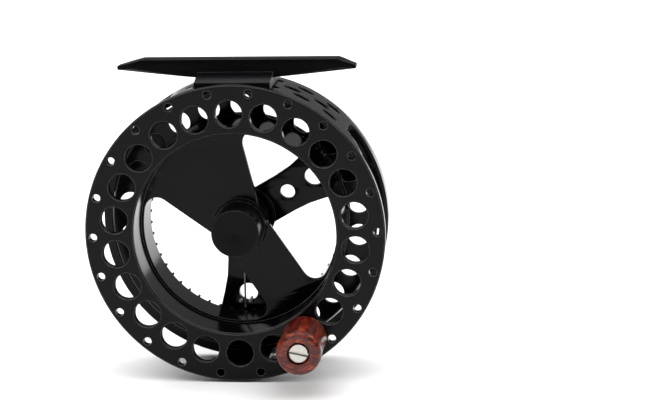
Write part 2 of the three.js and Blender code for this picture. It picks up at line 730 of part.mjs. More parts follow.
addPiece(reel, "frame_cage", buildCage(), anodised);
addPiece(reel, "reel_foot", buildFoot(), anodised);
addPiece(reel, "foot_screw_left", buildFootScrew(FOOT_SCREW_X[0]), steel);
addPiece(reel, "foot_screw_right", buildFootScrew(FOOT_SCREW_X[1]), steel);

// ---- click spring, its screw and its stop pins ----
function buildSpring() {
  const [low, high] = [SPRING_Y - SPRING_WIRE_R, SPRING_Y + SPRING_WIRE_R];
  const eye = cylinder(0, -SPRING_SCREW_R, SPRING_EYE_R, low, high, 20)
    .subtract(cylinder(0, -SPRING_SCREW_R, SPRING_EYE_BORE_R, low - REACH, high + REACH, 20));
  const eyeEdge = SPRING_SCREW_R + SPRING_EYE_BORE_R;
  const wire = new THREE.BoxGeometry(SPRING_WIRE_R * 2, SPRING_WIRE_R * 2, SPRING_TIP_R - eyeEdge);
  wire.translate(SPRING_X, SPRING_Y, -(SPRING_TIP_R + eyeEdge) / 2);
  const bead = cylinder(SPRING_X, -SPRING_TIP_R, SPRING_BEAD_R, low - GAP, high, 12);
  return unite([eye, solid(wire), bead]);
}

const springScrew = {
  z: -SPRING_SCREW_R,
  headR: 2.3,
  shankR: 0.7,
  headY: 22.9,
  headT: 1.2,
  tipY: 28.2,
  slotTurn: 15,
  slotWidth: 1,
  slotDepth: 0.6,
};

addPiece(reel, "click_spring", buildSpring(), springSteel);
addPiece(reel, "click_spring_screw", buildScrew(springScrew), steel);
const buildClickPin = (x) => cylinder(x, -CLICK_PIN_CIRCLE_R, CLICK_PIN_R, ...CLICK_PIN_Y, 12);
addPiece(reel, "click_pin_left", buildClickPin(CLICK_PIN_X[0]), steel);
addPiece(reel, "click_pin_right", buildClickPin(CLICK_PIN_X[1]), steel);

const group = new THREE.Group();
group.add(reel);

export default group;
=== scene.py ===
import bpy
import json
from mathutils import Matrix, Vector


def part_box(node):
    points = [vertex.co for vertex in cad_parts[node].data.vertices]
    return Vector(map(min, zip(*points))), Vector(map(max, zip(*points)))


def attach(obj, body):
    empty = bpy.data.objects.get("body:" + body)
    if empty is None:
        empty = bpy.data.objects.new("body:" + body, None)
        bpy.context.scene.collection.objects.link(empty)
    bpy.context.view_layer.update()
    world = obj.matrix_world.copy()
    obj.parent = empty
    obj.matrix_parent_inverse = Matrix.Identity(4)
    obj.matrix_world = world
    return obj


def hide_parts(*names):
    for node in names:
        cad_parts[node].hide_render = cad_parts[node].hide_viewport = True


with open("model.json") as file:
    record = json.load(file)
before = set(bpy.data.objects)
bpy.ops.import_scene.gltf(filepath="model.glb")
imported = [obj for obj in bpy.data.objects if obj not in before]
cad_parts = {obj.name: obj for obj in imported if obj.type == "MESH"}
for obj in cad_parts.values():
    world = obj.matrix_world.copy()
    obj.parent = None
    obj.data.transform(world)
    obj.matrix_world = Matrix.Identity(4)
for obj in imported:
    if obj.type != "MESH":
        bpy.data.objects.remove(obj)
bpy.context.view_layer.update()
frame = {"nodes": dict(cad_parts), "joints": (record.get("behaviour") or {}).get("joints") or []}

import json
import math

import bmesh
import bpy
from mathutils import Matrix, Vector

# ---- the reel's own frame: millimetres, spool axis on Y, y = 0 on the front flange's face ----
MM = 0.001
FLOOR_CLEARANCE = 0.0004  # metres below the spool
spool_lo, spool_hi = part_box("spool")
AXIS_Z = (spool_lo[2] + spool_hi[2]) / 2
FACE_Y = spool_lo[1]
REEL = Matrix.Translation((0, FACE_Y, AXIS_Z)) @ Matrix.Scale(MM, 4)

FLANGE_R = (spool_hi[0] - spool_lo[0]) / 2 / MM
FLANGE_T = 2.4
ARBOR_R_IN = 27
ARBOR_R_OUT = 28.3
REAR_BORE_R = 26.3
SEAT_R_IN = 28.25
SEAT_R_OUT = 29.1
SEAT_Y = 23.3
ARBOR_END = 24.8
REAR_FLANGE_R = 36.5
REAR_FLANGE_Y = 21.2
REAR_FLANGE_T = 1
HOLE_COUNT = 22
HOLE_START = 91.2
HOLE_R = 3.55
HOLE_CIRCLE_R = 32.3
REAR_HOLE_R = 2.95
REAR_HOLE_CIRCLE_R = 31.75
REAR_HOLE_TURN = -1.1
PIN_HOLE_R = 1.07
PIN_HOLE_CIRCLE_R = 37.9
EDGE = 0.3
GAP = 0.3
ROOT = 0.6  # fillets between the arbor and the flanges
GROOVE_DEPTH = 0.18

WEB_Y = 12.2
WEB_T = 2
WEB_ANGLE = -56
BAR_HALF = 6.7
FAN_SLOPE = 0.373
WEB_FILLET = 3.3
WEB_INTO_WALL = 0.5

HUB_BORE_R = 4.3
HUB_TUBE_R = 5.2
HUB_FRONT_Y = 3.2
HUB_BOSS_R = 7.3
HUB_BOSS_Y = 9.9
HUB_REAR_R = 6.4
HUB_REAR_Y = 23.2
CAP_R = 6.4
CAP_REAR_Y = 9.6
CAP_WALL_Y = 2.6

TEETH = 52
TOOTH_TIP_R = 26.1
SCALLOP_R = 1.3

KNOB_R_BASE = 5.9
KNOB_R_TIP = 5.95
KNOB_BORE_R = 2.6
COUNTERBORE_R = 2.95
COUNTERBORE_DEPTH = 1.5

FRAME_R = 39.35
FRAME_R_IN = 36.9
FRAME_FRONT = 2.9
FRAME_REAR = 28.5
RING_Y = 23
ARM_Y = 25.5
ARM_ANGLES = (30, 150, 270)
BAND_FROM = 42
BAND_TO = 118
BAND_R_IN = 37.7
PILLAR_HALF = 10.5
SLOT_HALF_WIDTH = 1.6
SLOT_LENGTH = 7.2  # degrees
SLOT_PITCH = 13
SLOTS_IN_ROW = 5
SLOT_ROWS = ((10.5, 50.5), (16.4, 55.3), (22.2, 50.5))  # each row's y and first slot's angle
# half-width of an arm at each radius
ARM_PROFILE = [(12.5, 5.5), (17, 5.8), (21.5, 6.7), (25.5, 7.7), (30, 9), (32.6, 10.1), (34.4, 11.8)]
ARM_HOLE_R = 2.55
ARM_HOLE_CIRCLE_R = 21.8
ARM_INNER_HOLE_R = 2.0
ARM_INNER_HOLE_CIRCLE_R = 13.3
BOSS_R = 8.0
BOSS_Y = 25.0
BOSS_BORE_R = 2.6
BOSS_COUNTERBORE_R = 3.5
BOSS_COUNTERBORE_Y = 27.1

SPRING_SCREW_R = 11.6
SPRING_SCREW_HOLE_R = 0.9
SPRING_X = -0.8
SPRING_Y = 24.6
SPRING_TIP_R = 25.45
SPRING_EYE_R = 1.6
SPRING_WIRE_R = 0.3
SPRING_BEAD_R = 0.4

FOOT_Y = 14
FOOT_HALF_W = 3.1
FOOT_FLAT_X = (-25.3, 27.2)
FOOT_TIP_DROP = 1.8
FOOT_TIP_T = 1.0
FOOT_UNDER_STEM = 4.9
FOOT_CORNER = 1.4
STEM_HALF = 10.1
STEM_FOOT_R = 39.65
FLARE_HALF_W = 11.1
FLARE_EDGE_Z = 40.1
FLARE_TOP_Z = 42.0
FLARE_TOP_HALF_W = 2.6

knob_joint = next(j for j in frame["joints"] if j["name"] == "knob_spin")
KNOB_X = knob_joint["pos_m"][0] / MM
KNOB_Z = (knob_joint["pos_m"][2] - AXIS_Z) / MM


def span_y(name):
    """The front and back of a CAD node along the spool axis."""
    return [(corner[1] - FACE_Y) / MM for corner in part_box(name)]


def polar(r, deg):
    return (r * math.cos(math.radians(deg)), r * math.sin(math.radians(deg)))


def arc(cx, cz, r, start, end, steps):
    """Points on an arc, angles in degrees, both ends included."""
    points = []
    for i in range(steps + 1):
        x, z = polar(r, start + (end - start) * i / steps)
        points.append((cx + x, cz + z))
    return points


def circle(cx, cz, r, sides=48):
    return arc(cx, cz, r, 0, 360, sides)[:-1]


def rounded(points, radii, steps=5):
    """A closed outline with each corner replaced by an arc of its radius, or kept where that is 0."""
    outline = []
    count = len(points)
    for i, point in enumerate(points):
        radius = radii[i] if isinstance(radii, (list, tuple)) else radii
        here = Vector(point)
        before = Vector(points[i - 1]) - here
        after = Vector(points[(i + 1) % count]) - here
        turn = before.angle(after) if before.length > 1e-6 and after.length > 1e-6 else math.pi
        if radius <= 0 or turn > math.radians(172):
            outline.append(tuple(here))
            continue
        reach = radius / math.tan(turn / 2)
        room = 0.49 * min(before.length, after.length)
        if reach > room:
            radius *= room / reach
            reach = room
        bisector = (before.normalized() + after.normalized()).normalized()
        centre = here + bisector * (radius / math.sin(turn / 2))
        first = here + before.normalized() * reach - centre
        last = here + after.normalized() * reach - centre
        sweep = first.angle_signed(last)
        for k in range(steps + 1):
            spoke = Matrix.Rotation(-sweep * k / steps, 2) @ first
            outline.append(tuple(centre + spoke))
    return outline


# ---- meshes ----
SOFT_STEPS = 3
BEVEL_RESOLUTION = 2
NEAR_AXIS = 1e-4
NEAR = 1e-3


def mesh_from(bm):
    bmesh.ops.recalc_face_normals(bm, faces=bm.faces)
    mesh = bpy.data.meshes.new("work")
    bm.to_mesh(mesh)
    bm.free()
    return mesh


def turned(profile, segments=180, at=(0, 0), soft=0.0):
    """A closed [radius, y] profile turned about Y, its corners softened by a small radius."""
    points = rounded(profile, soft, SOFT_STEPS) if soft else list(profile)
    points = [(0.0 if r < NEAR_AXIS else r, y) for r, y in points]
    bm = bmesh.new()
    rings = []
    for r, y in points:
        if r == 0:
            rings.append([bm.verts.new((at[0], y, at[1]))])
            continue
        spots = circle(at[0], at[1], r, segments)
        rings.append([bm.verts.new((x, y, z)) for x, z in spots])
    for i, ring in enumerate(rings):
        other = rings[(i + 1) % len(rings)]
        if len(ring) == 1 and len(other) == 1:
            continue
        for k in range(segments):
            after = (k + 1) % segments
            here = [ring[0]] if len(ring) == 1 else [ring[k], ring[after]]
            there = [other[0]] if len(other) == 1 else [other[after], other[k]]
            bm.faces.new(here + there)
    return mesh_from(bm)


def plate(loops, y0, y1, bevel):
    """Outlines in XZ, holes among them, as a plate from y0 to y1 with rounded edges."""
    curve = bpy.data.curves.new("outline", "CURVE")
    curve.dimensions = "2D"
    curve.fill_mode = "BOTH"
    curve.extrude = (y1 - y0) / 2 - bevel
    curve.bevel_depth = bevel
    curve.bevel_resolution = BEVEL_RESOLUTION
    curve.offset = -bevel
    for loop in loops:
        spline = curve.splines.new("POLY")
        spline.points.add(len(loop) - 1)
        for point, (x, z) in zip(spline.points, loop):
            point.co = (x, z, 0, 1)
        spline.use_cyclic_u = True
    holder = bpy.data.objects.new("outline", curve)
    bpy.context.scene.collection.objects.link(holder)
    bpy.context.view_layer.update()
    shape = holder.evaluated_get(bpy.context.evaluated_depsgraph_get())
    bm = bmesh.new()
    bm.from_mesh(shape.to_mesh())
    shape.to_mesh_clear()
    bpy.data.objects.remove(holder)
    bpy.data.curves.remove(curve)
    bmesh.ops.remove_doubles(bm, verts=bm.verts, dist=NEAR)
    upright = Matrix.Rotation(math.pi / 2, 4, "X")
    bm.transform(Matrix.Translation((0, (y0 + y1) / 2, 0)) @ upright)
    return mesh_from(bm)


def tidy_end(bm, x):
    """Leaves only corner points on the cut end at x, so that both ends of a rolled plate match."""
    end = [v for v in bm.verts if abs(v.co.x - x) < 1e-4]
    merges = {}
    for side in (-1, 1):
        thick = max(side * v.co.y for v in end)
        row = sorted((v for v in end if side * v.co.y > thick - 1e-4), key=lambda v: v.co.z)
        for vert in row[1:-1]:
            nearer_low = vert.co.z - row[0].co.z < row[-1].co.z - vert.co.z
            merges[vert] = row[0] if nearer_low else row[-1]
    bmesh.ops.weld_verts(bm, targetmap=merges)


def slice_at(bm, x, side=0):
    """Cuts along the plane at x, and throws away what lies below it (side 1) or above it (side -1)."""
    everything = bm.verts[:] + bm.edges[:] + bm.faces[:]
    bmesh.ops.bisect_plane(
        bm, geom=everything, plane_co=(x, 0, 0), plane_no=(side or 1, 0, 0), clear_inner=side != 0)


def rolled(loops, r_in, r_out, bevel, step=2.0):
    """Outlines in (degrees, y) as a plate rolled round the axis and closed at 0 and 360 degrees."""
    mean = (r_in + r_out) / 2
    half = (r_out - r_in) / 2
    scale = math.radians(1) * mean
    unrolled = [[(deg * scale, y) for deg, y in loop] for loop in loops]
    flat = plate(unrolled, -half, half, bevel)
    bm = bmesh.new()
    bm.from_mesh(flat)
    bpy.data.meshes.remove(flat)
    slice_at(bm, 0, 1)
    slice_at(bm, 360 * scale, -1)
    for limit in (0, 360):
        tidy_end(bm, limit * scale)
    for k in range(1, int(360 / step)):
        slice_at(bm, k * step * scale)
    for vert in bm.verts:
        deg = vert.co.x / scale
        x, z = polar(mean - vert.co.y, deg)
        vert.co = Vector((x, vert.co.z, z))
    bmesh.ops.remove_doubles(bm, verts=bm.verts, dist=NEAR)
    return mesh_from(bm)


def joined(meshes):
    """Several meshes as one, without any boolean."""
    bm = bmesh.new()
    for mesh in meshes:
        bm.from_mesh(mesh)
    return mesh_from(bm)


def boolean(base, tool, operation):
    """base with tool joined to it or cut from it."""
    holders = []
    for mesh in (base, tool):
        holder = bpy.data.objects.new("holder", mesh)
        bpy.context.scene.collection.objects.link(holder)
        holders.append(holder)
    cut = holders[0].modifiers.new("cut", "BOOLEAN")
    cut.operation = operation
    cut.solver = "EXACT"
    cut.object = holders[1]
    bpy.context.view_layer.update()
    shape = holders[0].evaluated_get(bpy.context.evaluated_depsgraph_get())
    result = bpy.data.meshes.new_from_object(shape)
    for holder in holders:
        bpy.data.objects.remove(holder)
    return result


def hole_tool(x, z, r, y0, y1, edge, sides=48):
    """A cutter for a through hole with a small countersink at both faces."""
    flare = edge + 1
    profile = [
        (0, y0 - 1), (r + flare, y0 - 1), (r, y0 + edge), (r, y1 - edge), (r + flare, y1 + 1), (0, y1 + 1),
    ]
    return turned(profile, sides, (x, z))


def slot_cutter(length, depth, width, turn_deg, at):
    """A box for cutting a screw's slot, turned about Y."""
    bm = bmesh.new()
    bmesh.ops.create_cube(bm, size=1)
    bm.transform(Matrix.Diagonal((length, depth, width, 1)))
    bm.transform(Matrix.Rotation(-math.radians(turn_deg), 4, "Y"))
    bm.transform(Matrix.Translation(at))
    return mesh_from(bm)


def piece(name, mesh, body, material, replaces=(), sharp=28):
    """A finished piece: placed in the part's frame, smooth shaded, with its material and body."""
    mesh.name = name
    mesh.transform(REEL)
    mesh.materials.clear()
    mesh.materials.append(material)
    mesh.polygons.foreach_set("use_smooth", [True] * len(mesh.polygons))
    mesh.set_sharp_from_angle(angle=math.radians(sharp))
    obj = bpy.data.objects.new(name, mesh)
    bpy.context.scene.collection.objects.link(obj)
    if replaces:
        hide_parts(*replaces)
    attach(obj, body)
    return obj


# ---- camera, floor and light ----
CAMERA_AZIMUTH, CAMERA_ELEVATION, CAMERA_ROLL = 5.453, 11.326, -1.091
CAMERA_RIGHT, CAMERA_UP, CAMERA_BACK = 23.989, 9.293, 537.52  # millimetres from the spool's centre


def look_from(azimuth, elevation, roll):
    """The camera's right, up and back directions for a view angle in degrees."""
    a, e = math.radians(azimuth), math.radians(elevation)
    back = Vector((math.sin(a) * math.cos(e), -math.cos(a) * math.cos(e), math.sin(e)))
    right = (-back).cross(Vector((0, 0, 1))).normalized()
    up = right.cross(-back)
    turn = math.radians(roll)
    rolled_right = right * math.cos(turn) + up * math.sin(turn)
    rolled_up = up * math.cos(turn) - right * math.sin(turn)
    return rolled_right, rolled_up, back


def make_camera():
    data = bpy.data.cameras.new("camera")
    data.sensor_width = 36
    data.lens = 112.76
    data.clip_start = 0.01
    data.clip_end = 20
    camera = bpy.data.objects.new("camera", data)
    bpy.context.scene.collection.objects.link(camera)
    right, up, back = look_from(CAMERA_AZIMUTH, CAMERA_ELEVATION, CAMERA_ROLL)
    centre = Vector((0, FACE_Y, AXIS_Z))
    place = centre + (right * CAMERA_RIGHT + up * CAMERA_UP + back * CAMERA_BACK) * MM
    camera.matrix_world = Matrix.Translation(place) @ Matrix((right, up, back)).transposed().to_4x4()
    bpy.context.scene.camera = camera


def shader(name, build):
    """A node material: build(nodes, links, principled) makes its nodes."""
    material = bpy.data.materials.new(name)
    material.use_nodes = True
    tree = material.node_tree
    build(tree.nodes, tree.links, tree.nodes["Principled BSDF"])
    return material


def node(nodes, kind, **settings):
    made = nodes.new(kind)
    for key, value in settings.items():
        if key in made.inputs:
            made.inputs[key].default_value = value
        else:
            setattr(made, key, value)
    return made


def ramp(nodes, links, source, stops):
    made = nodes.new("ShaderNodeValToRGB")
    elements = made.color_ramp.elements
    while len(elements) < len(stops):
        elements.new(0.5)
    for element, (position, colour) in zip(elements, stops):
        element.position = position
        element.color = (*colour, 1) if len(colour) == 3 else colour
    links.new(source, made.inputs["Fac"])
    return made.outputs["Color"]


def scaled(nodes, links, source, low, high):
    made = node(nodes, "ShaderNodeMapRange")
    made.inputs["To Min"].default_value = low
    made.inputs["To Max"].default_value = high
    links.new(source, made.inputs["Value"])
    return made.outputs["Result"]


def add_bump(nodes, links, principled, height, strength, distance):
    bump = node(nodes, "ShaderNodeBump", Strength=strength, Distance=distance)
    links.new(height, bump.inputs["Height"])
    links.new(bump.outputs["Normal"], principled.inputs["Normal"])


def painted_edge_highlight(nodes, links, radius):
    """Mask for a painted edge highlight: 1 on thin edges and 0 on open faces, from how far a rounded normal
    turns away.
    """
    soft = node(nodes, "ShaderNodeBevel", Radius=radius, samples=6)
    sharp = nodes.new("ShaderNodeNewGeometry")
    dot = node(nodes, "ShaderNodeVectorMath", operation="DOT_PRODUCT")
    links.new(soft.outputs["Normal"], dot.inputs[0])
    links.new(sharp.outputs["Normal"], dot.inputs[1])
    made = node(nodes, "ShaderNodeMapRange")
    made.inputs["From Min"].default_value = 0.985
    made.inputs["From Max"].default_value = 0.86
    links.new(dot.outputs["Value"], made.inputs["Value"])
    return made.outputs["Result"]


def anodised(name, base, edge, rough_low, rough_high, ior):
    """Black anodised aluminium: dark film over turning marks, with a paler colour painted on its edges as a
    highlight.
    """
    def build(nodes, links, principled):
        place = nodes.new("ShaderNodeTexCoord")
        cloud = node(nodes, "ShaderNodeTexNoise", Scale=140.0, Detail=4.0)
        grain = node(nodes, "ShaderNodeTexNoise", Scale=5200.0, Detail=2.0)
        lathe = node(nodes, "ShaderNodeMapping", Scale=(0.03, 1.0, 0.03))
        marks = node(nodes, "ShaderNodeTexNoise", Scale=3400.0, Detail=3.0)
        links.new(place.outputs["Object"], lathe.inputs["Vector"])
        links.new(lathe.outputs["Vector"], marks.inputs["Vector"])
        for made in (cloud, grain):
            links.new(place.outputs["Object"], made.inputs["Vector"])
        # mask for the painted edge highlight: the edge colour is mixed in on thin edges
        edge_highlight_mask = painted_edge_highlight(nodes, links, 0.00018)
        paler = [c * 1.35 for c in base]
        tone = ramp(nodes, links, cloud.outputs["Fac"], [(0.3, base), (0.75, paler)])
        mix = node(nodes, "ShaderNodeMix", data_type="RGBA")
        links.new(edge_highlight_mask, mix.inputs[0])
        links.new(tone, mix.inputs[6])
        mix.inputs[7].default_value = (*edge, 1)
        links.new(mix.outputs[2], principled.inputs["Base Color"])
        rough = scaled(nodes, links, cloud.outputs["Fac"], rough_low, rough_high)
        links.new(rough, principled.inputs["Roughness"])
        principled.inputs["Metallic"].default_value = 0.0
        principled.inputs["IOR"].default_value = ior
        both = node(nodes, "ShaderNodeMath", operation="ADD")
        links.new(grain.outputs["Fac"], both.inputs[0])
        links.new(marks.outputs["Fac"], both.inputs[1])
        add_bump(nodes, links, principled, both.outputs[0], 0.05, 0.00003)
    return shader(name, build)


def turned_steel(name, base, ring_scale, roughness):
    """Steel faced on a lathe: faint rings about the piece's own axis and small scratches."""
    def build(nodes, links, principled):
        place = nodes.new("ShaderNodeTexCoord")
        scratch = node(nodes, "ShaderNodeTexNoise", Scale=ring_scale, Detail=5.0, Roughness=0.7)
        links.new(place.outputs["Object"], scratch.inputs["Vector"])
        darker = [c * 0.72 for c in base]
        tone = ramp(nodes, links, scratch.outputs["Fac"], [(0.25, darker), (0.8, base)])
        links.new(tone, principled.inputs["Base Color"])
        links.new(scaled(nodes, links, scratch.outputs["Fac"], roughness, roughness + 0.16),
                  principled.inputs["Roughness"])
        principled.inputs["Metallic"].default_value = 1.0
        add_bump(nodes, links, principled, scratch.outputs["Fac"], 0.12, 0.00002)
    return shader(name, build)


def lacquered_wood(name):
    """Red-brown hardwood with streaks along the grain under clear lacquer."""
    def build(nodes, links, principled):
        place = nodes.new("ShaderNodeTexCoord")
        turn = [math.radians(deg) for deg in (4, 20, 7)]
        lean = node(nodes, "ShaderNodeMapping", Rotation=turn, Scale=(0.35, 0.085, 1.0))
        links.new(place.outputs["Object"], lean.inputs["Vector"])
        streak = node(nodes, "ShaderNodeTexNoise", Scale=1500.0, Detail=6.0, Roughness=0.62, Distortion=0.6)
        pores = node(nodes, "ShaderNodeTexNoise", Scale=4200.0, Detail=3.0)
        bands = node(nodes, "ShaderNodeTexNoise", Scale=330.0, Detail=3.0, Distortion=1.2)
        for made in (streak, pores, bands):
            links.new(lean.outputs["Vector"], made.inputs["Vector"])
        fine = ramp(nodes, links, streak.outputs["Fac"], [
            (0.30, (0.014, 0.002, 0.001)), (0.46, (0.075, 0.007, 0.003)),
            (0.57, (0.19, 0.024, 0.006)), (0.70, (0.46, 0.11, 0.02))])
        broad = ramp(nodes, links, bands.outputs["Fac"], [
            (0.35, (0.30, 0.05, 0.03)), (0.5, (0.85, 0.45, 0.30)), (0.65, (1.0, 0.85, 0.6))])
        blend = node(nodes, "ShaderNodeMix", data_type="RGBA", blend_type="MULTIPLY")
        blend.inputs[0].default_value = 0.75
        links.new(fine, blend.inputs[6])
        links.new(broad, blend.inputs[7])
        dark = ramp(nodes, links, pores.outputs["Fac"], [(0.30, (0.35, 0.22, 0.2)), (0.42, (1, 1, 1))])
        pits = node(nodes, "ShaderNodeMix", data_type="RGBA", blend_type="MULTIPLY")
        pits.inputs[0].default_value = 0.8
        links.new(blend.outputs[2], pits.inputs[6])
        links.new(dark, pits.inputs[7])
        links.new(pits.outputs[2], principled.inputs["Base Color"])
        links.new(scaled(nodes, links, streak.outputs["Fac"], 0.32, 0.46), principled.inputs["Roughness"])
        principled.inputs["Specular IOR Level"].default_value = 0.25
        principled.inputs["Coat Weight"].default_value = 0.35
        principled.inputs["Coat Roughness"].default_value = 0.12
        add_bump(nodes, links, principled, streak.outputs["Fac"], 0.10, 0.00006)
    return shader(name, build)


def plain_polymer(name, base, rough):
    def build(nodes, links, principled):
        place = nodes.new("ShaderNodeTexCoord")
        cloud = node(nodes, "ShaderNodeTexNoise", Scale=900.0, Detail=3.0)
        links.new(place.outputs["Object"], cloud.inputs["Vector"])
        darker = [c * 0.85 for c in base]
        tone = ramp(nodes, links, cloud.outputs["Fac"], [(0.3, darker), (0.8, base)])
        links.new(tone, principled.inputs["Base Color"])
        principled.inputs["Roughness"].default_value = rough
        add_bump(nodes, links, principled, cloud.outputs["Fac"], 0.1, 0.00003)
    return shader(name, build)


# the second colour of each anodised finish is a painted edge highlight on thin edges
BLACK = anodised("black_anodised", (0.002, 0.002, 0.0025), (0.20, 0.195, 0.19), 0.10, 0.16, 1.21)
FOOT_BLACK = anodised("black_foot", (0.0015, 0.0015, 0.002), (0.16, 0.155, 0.15), 0.30, 0.38, 1.13)
CAP_BLACK = anodised("black_cap", (0.004, 0.004, 0.004), (0.24, 0.24, 0.23), 0.24, 0.32, 1.15)
STEEL = turned_steel("turned_steel", (0.62, 0.60, 0.56), 2600.0, 0.26)
WIRE = turned_steel("spring_wire", (0.42, 0.42, 0.42), 1800.0, 0.30)
BRONZE = turned_steel("bearing_bronze", (0.55, 0.34, 0.14), 2200.0, 0.32)
WOOD = lacquered_wood("lacquered_wood")
RUBBER = plain_polymer("black_rubber", (0.02, 0.02, 0.02), 0.8)
POLYMER = plain_polymer("white_acetal", (0.62, 0.60, 0.54), 0.45)


def plain_floor(name):
    def build(nodes, links, principled):
        principled.inputs["Base Color"].default_value = (0.93, 0.93, 0.93, 1)
        principled.inputs["Roughness"].default_value = 0.9
        principled.inputs["Specular IOR Level"].default_value = 0.1
    return shader(name, build)


def make_stage():
    bm = bmesh.new()
    bmesh.ops.create_grid(bm, x_segments=4, y_segments=4, size=6)
    mesh = mesh_from(bm)
    mesh.materials.append(plain_floor("floor"))
    floor = bpy.data.objects.new("floor", mesh)
    floor.location = (0, 0, spool_lo[2] - FLOOR_CLEARANCE)
    bpy.context.scene.collection.objects.link(floor)


def area_light(name, place, target, size, watts):
    data = bpy.data.lights.new(name, "AREA")
    data.shape = "RECTANGLE"
    data.size, data.size_y = size
    data.energy = watts
    lamp = bpy.data.objects.new(name, data)
    bpy.context.scene.collection.objects.link(lamp)
    direction = Vector(target) - Vector(place)
    turn = direction.to_track_quat("-Z", "Y").to_matrix().to_4x4()
    lamp.matrix_world = Matrix.Translation(place) @ turn


def faded(nodes, links, source, low, high, start, end):
    """source between low and high, mapped smoothly to start and end."""
    made = node(nodes, "ShaderNodeMapRange", interpolation_type="SMOOTHSTEP")
    made.inputs["From Min"].default_value = low
    made.inputs["From Max"].default_value = high
    made.inputs["To Min"].default_value = start
    made.inputs["To Max"].default_value = end
    links.new(source, made.inputs["Value"])
    return made.outputs["Result"]


def make_lights():
    area_light("overhead_softbox", (0, 0.3, 1.3), (0, 0.3, -0.08), (3.4, 2.8), 85)
    area_light("front_softbox", (-0.3, -1.1, 0.9), (0, 0, -0.06), (1.2, 0.9), 4)
    world = bpy.data.worlds.new("studio")
    world.use_nodes = True
    nodes, links = world.node_tree.nodes, world.node_tree.links
    place = nodes.new("ShaderNodeTexCoord")
    parts = nodes.new("ShaderNodeSeparateXYZ")
    links.new(place.outputs["Generated"], parts.inputs[0])
    behind = faded(nodes, links, parts.outputs["Y"], -0.55, 0.10, 0.0, 1.0)
    low = faded(nodes, links, parts.outputs["Z"], 0.22, 0.50, 1.0, 0.02)
    both = node(nodes, "ShaderNodeMath", operation="MULTIPLY")
    links.new(behind, both.inputs[0])
    links.new(low, both.inputs[1])
    strength = node(nodes, "ShaderNodeMath", operation="MULTIPLY_ADD")
    strength.inputs[1].default_value = 5.0
    strength.inputs[2].default_value = 0.03
    links.new(both.outputs[0], strength.inputs[0])
    links.new(strength.outputs[0], nodes["Background"].inputs["Strength"])
    bpy.context.scene.world = world
    bpy.context.scene.view_settings.view_transform = "Standard"


# ---- spool ----
def flange_tools():
    tools = []
    for i in range(HOLE_COUNT):
        angle = HOLE_START - 360 / HOLE_COUNT * i
        x, z = polar(HOLE_CIRCLE_R, angle)
        taken = math.hypot(x - KNOB_X, z - KNOB_Z) < HOLE_R
        if not taken:
            tools.append(hole_tool(x, z, HOLE_R, 0, FLANGE_T, 0.22))
        x, z = polar(REAR_HOLE_CIRCLE_R, angle + REAR_HOLE_TURN)
        tools.append(hole_tool(x, z, REAR_HOLE_R, REAR_FLANGE_Y, REAR_FLANGE_Y + REAR_FLANGE_T, 0.12))
        px, pz = polar(PIN_HOLE_CIRCLE_R, angle - 180 / HOLE_COUNT)
        tools.append(hole_tool(px, pz, PIN_HOLE_R, 0, FLANGE_T, 0.1, 20))
    return joined(tools)


def web_outline():
    """Fan and bar as one outline with concave fillets where they meet the arbor wall."""
    outline = []
    for deg, slope in ((WEB_ANGLE, 0), (WEB_ANGLE + 180, FAN_SLOPE)):
        edge = math.atan(slope)
        reach = REAR_BORE_R - WEB_FILLET
        offset = BAR_HALF + WEB_FILLET / math.cos(edge)
        square = 1 + slope * slope
        root = math.sqrt((offset * slope) ** 2 - square * (offset ** 2 - reach ** 2))
        cu = (root - offset * slope) / square
        cv = offset + slope * cu
        wall = math.degrees(math.atan2(cv, cu))
        start = math.degrees(edge) - 90
        side = arc(cu, cv, WEB_FILLET, start, wall, 8)
        side.append(polar(REAR_BORE_R + WEB_INTO_WALL, wall))
        if slope:
            side.insert(0, (0, BAR_HALF))
        into_wall = arc(0, 0, REAR_BORE_R + WEB_INTO_WALL, -wall, wall, 30)[1:-1]
        tip = [(u, -v) for u, v in side] + into_wall + side[::-1]
        c, s = polar(1, deg)
        outline += [(u * c - v * s, u * s + v * c) for u, v in tip]
    return outline


def shell_profile():
    """Front flange, arbor, rear flange and the click ring's seat, with a fine groove inside the bore."""
    rear_face = REAR_FLANGE_Y + REAR_FLANGE_T
    return [
        (ARBOR_R_IN, EDGE), (ARBOR_R_IN + EDGE, 0), (FLANGE_R - EDGE, 0), (FLANGE_R, EDGE),
        (FLANGE_R, FLANGE_T - EDGE), (FLANGE_R - EDGE, FLANGE_T), (ARBOR_R_OUT + ROOT, FLANGE_T),
        (ARBOR_R_OUT, FLANGE_T + ROOT), (ARBOR_R_OUT, REAR_FLANGE_Y - ROOT),
        (ARBOR_R_OUT + ROOT, REAR_FLANGE_Y), (REAR_FLANGE_R - EDGE, REAR_FLANGE_Y),
        (REAR_FLANGE_R, REAR_FLANGE_Y + EDGE), (REAR_FLANGE_R, rear_face - EDGE),
        (REAR_FLANGE_R - EDGE, rear_face), (SEAT_R_OUT, rear_face),
        (SEAT_R_OUT, ARBOR_END - 0.2), (SEAT_R_OUT - 0.2, ARBOR_END), (SEAT_R_IN + 0.1, ARBOR_END),
        (SEAT_R_IN, ARBOR_END - 0.1), (SEAT_R_IN, SEAT_Y), (REAR_BORE_R + 0.1, SEAT_Y),
        (REAR_BORE_R, SEAT_Y - 0.1), (REAR_BORE_R, WEB_Y + 0.12), (REAR_BORE_R + 0.12, WEB_Y),
        (ARBOR_R_IN, WEB_Y), (ARBOR_R_IN, 1.1), (ARBOR_R_IN + GROOVE_DEPTH, 1.0),
        (ARBOR_R_IN + GROOVE_DEPTH, 0.75), (ARBOR_R_IN, 0.65),
    ]


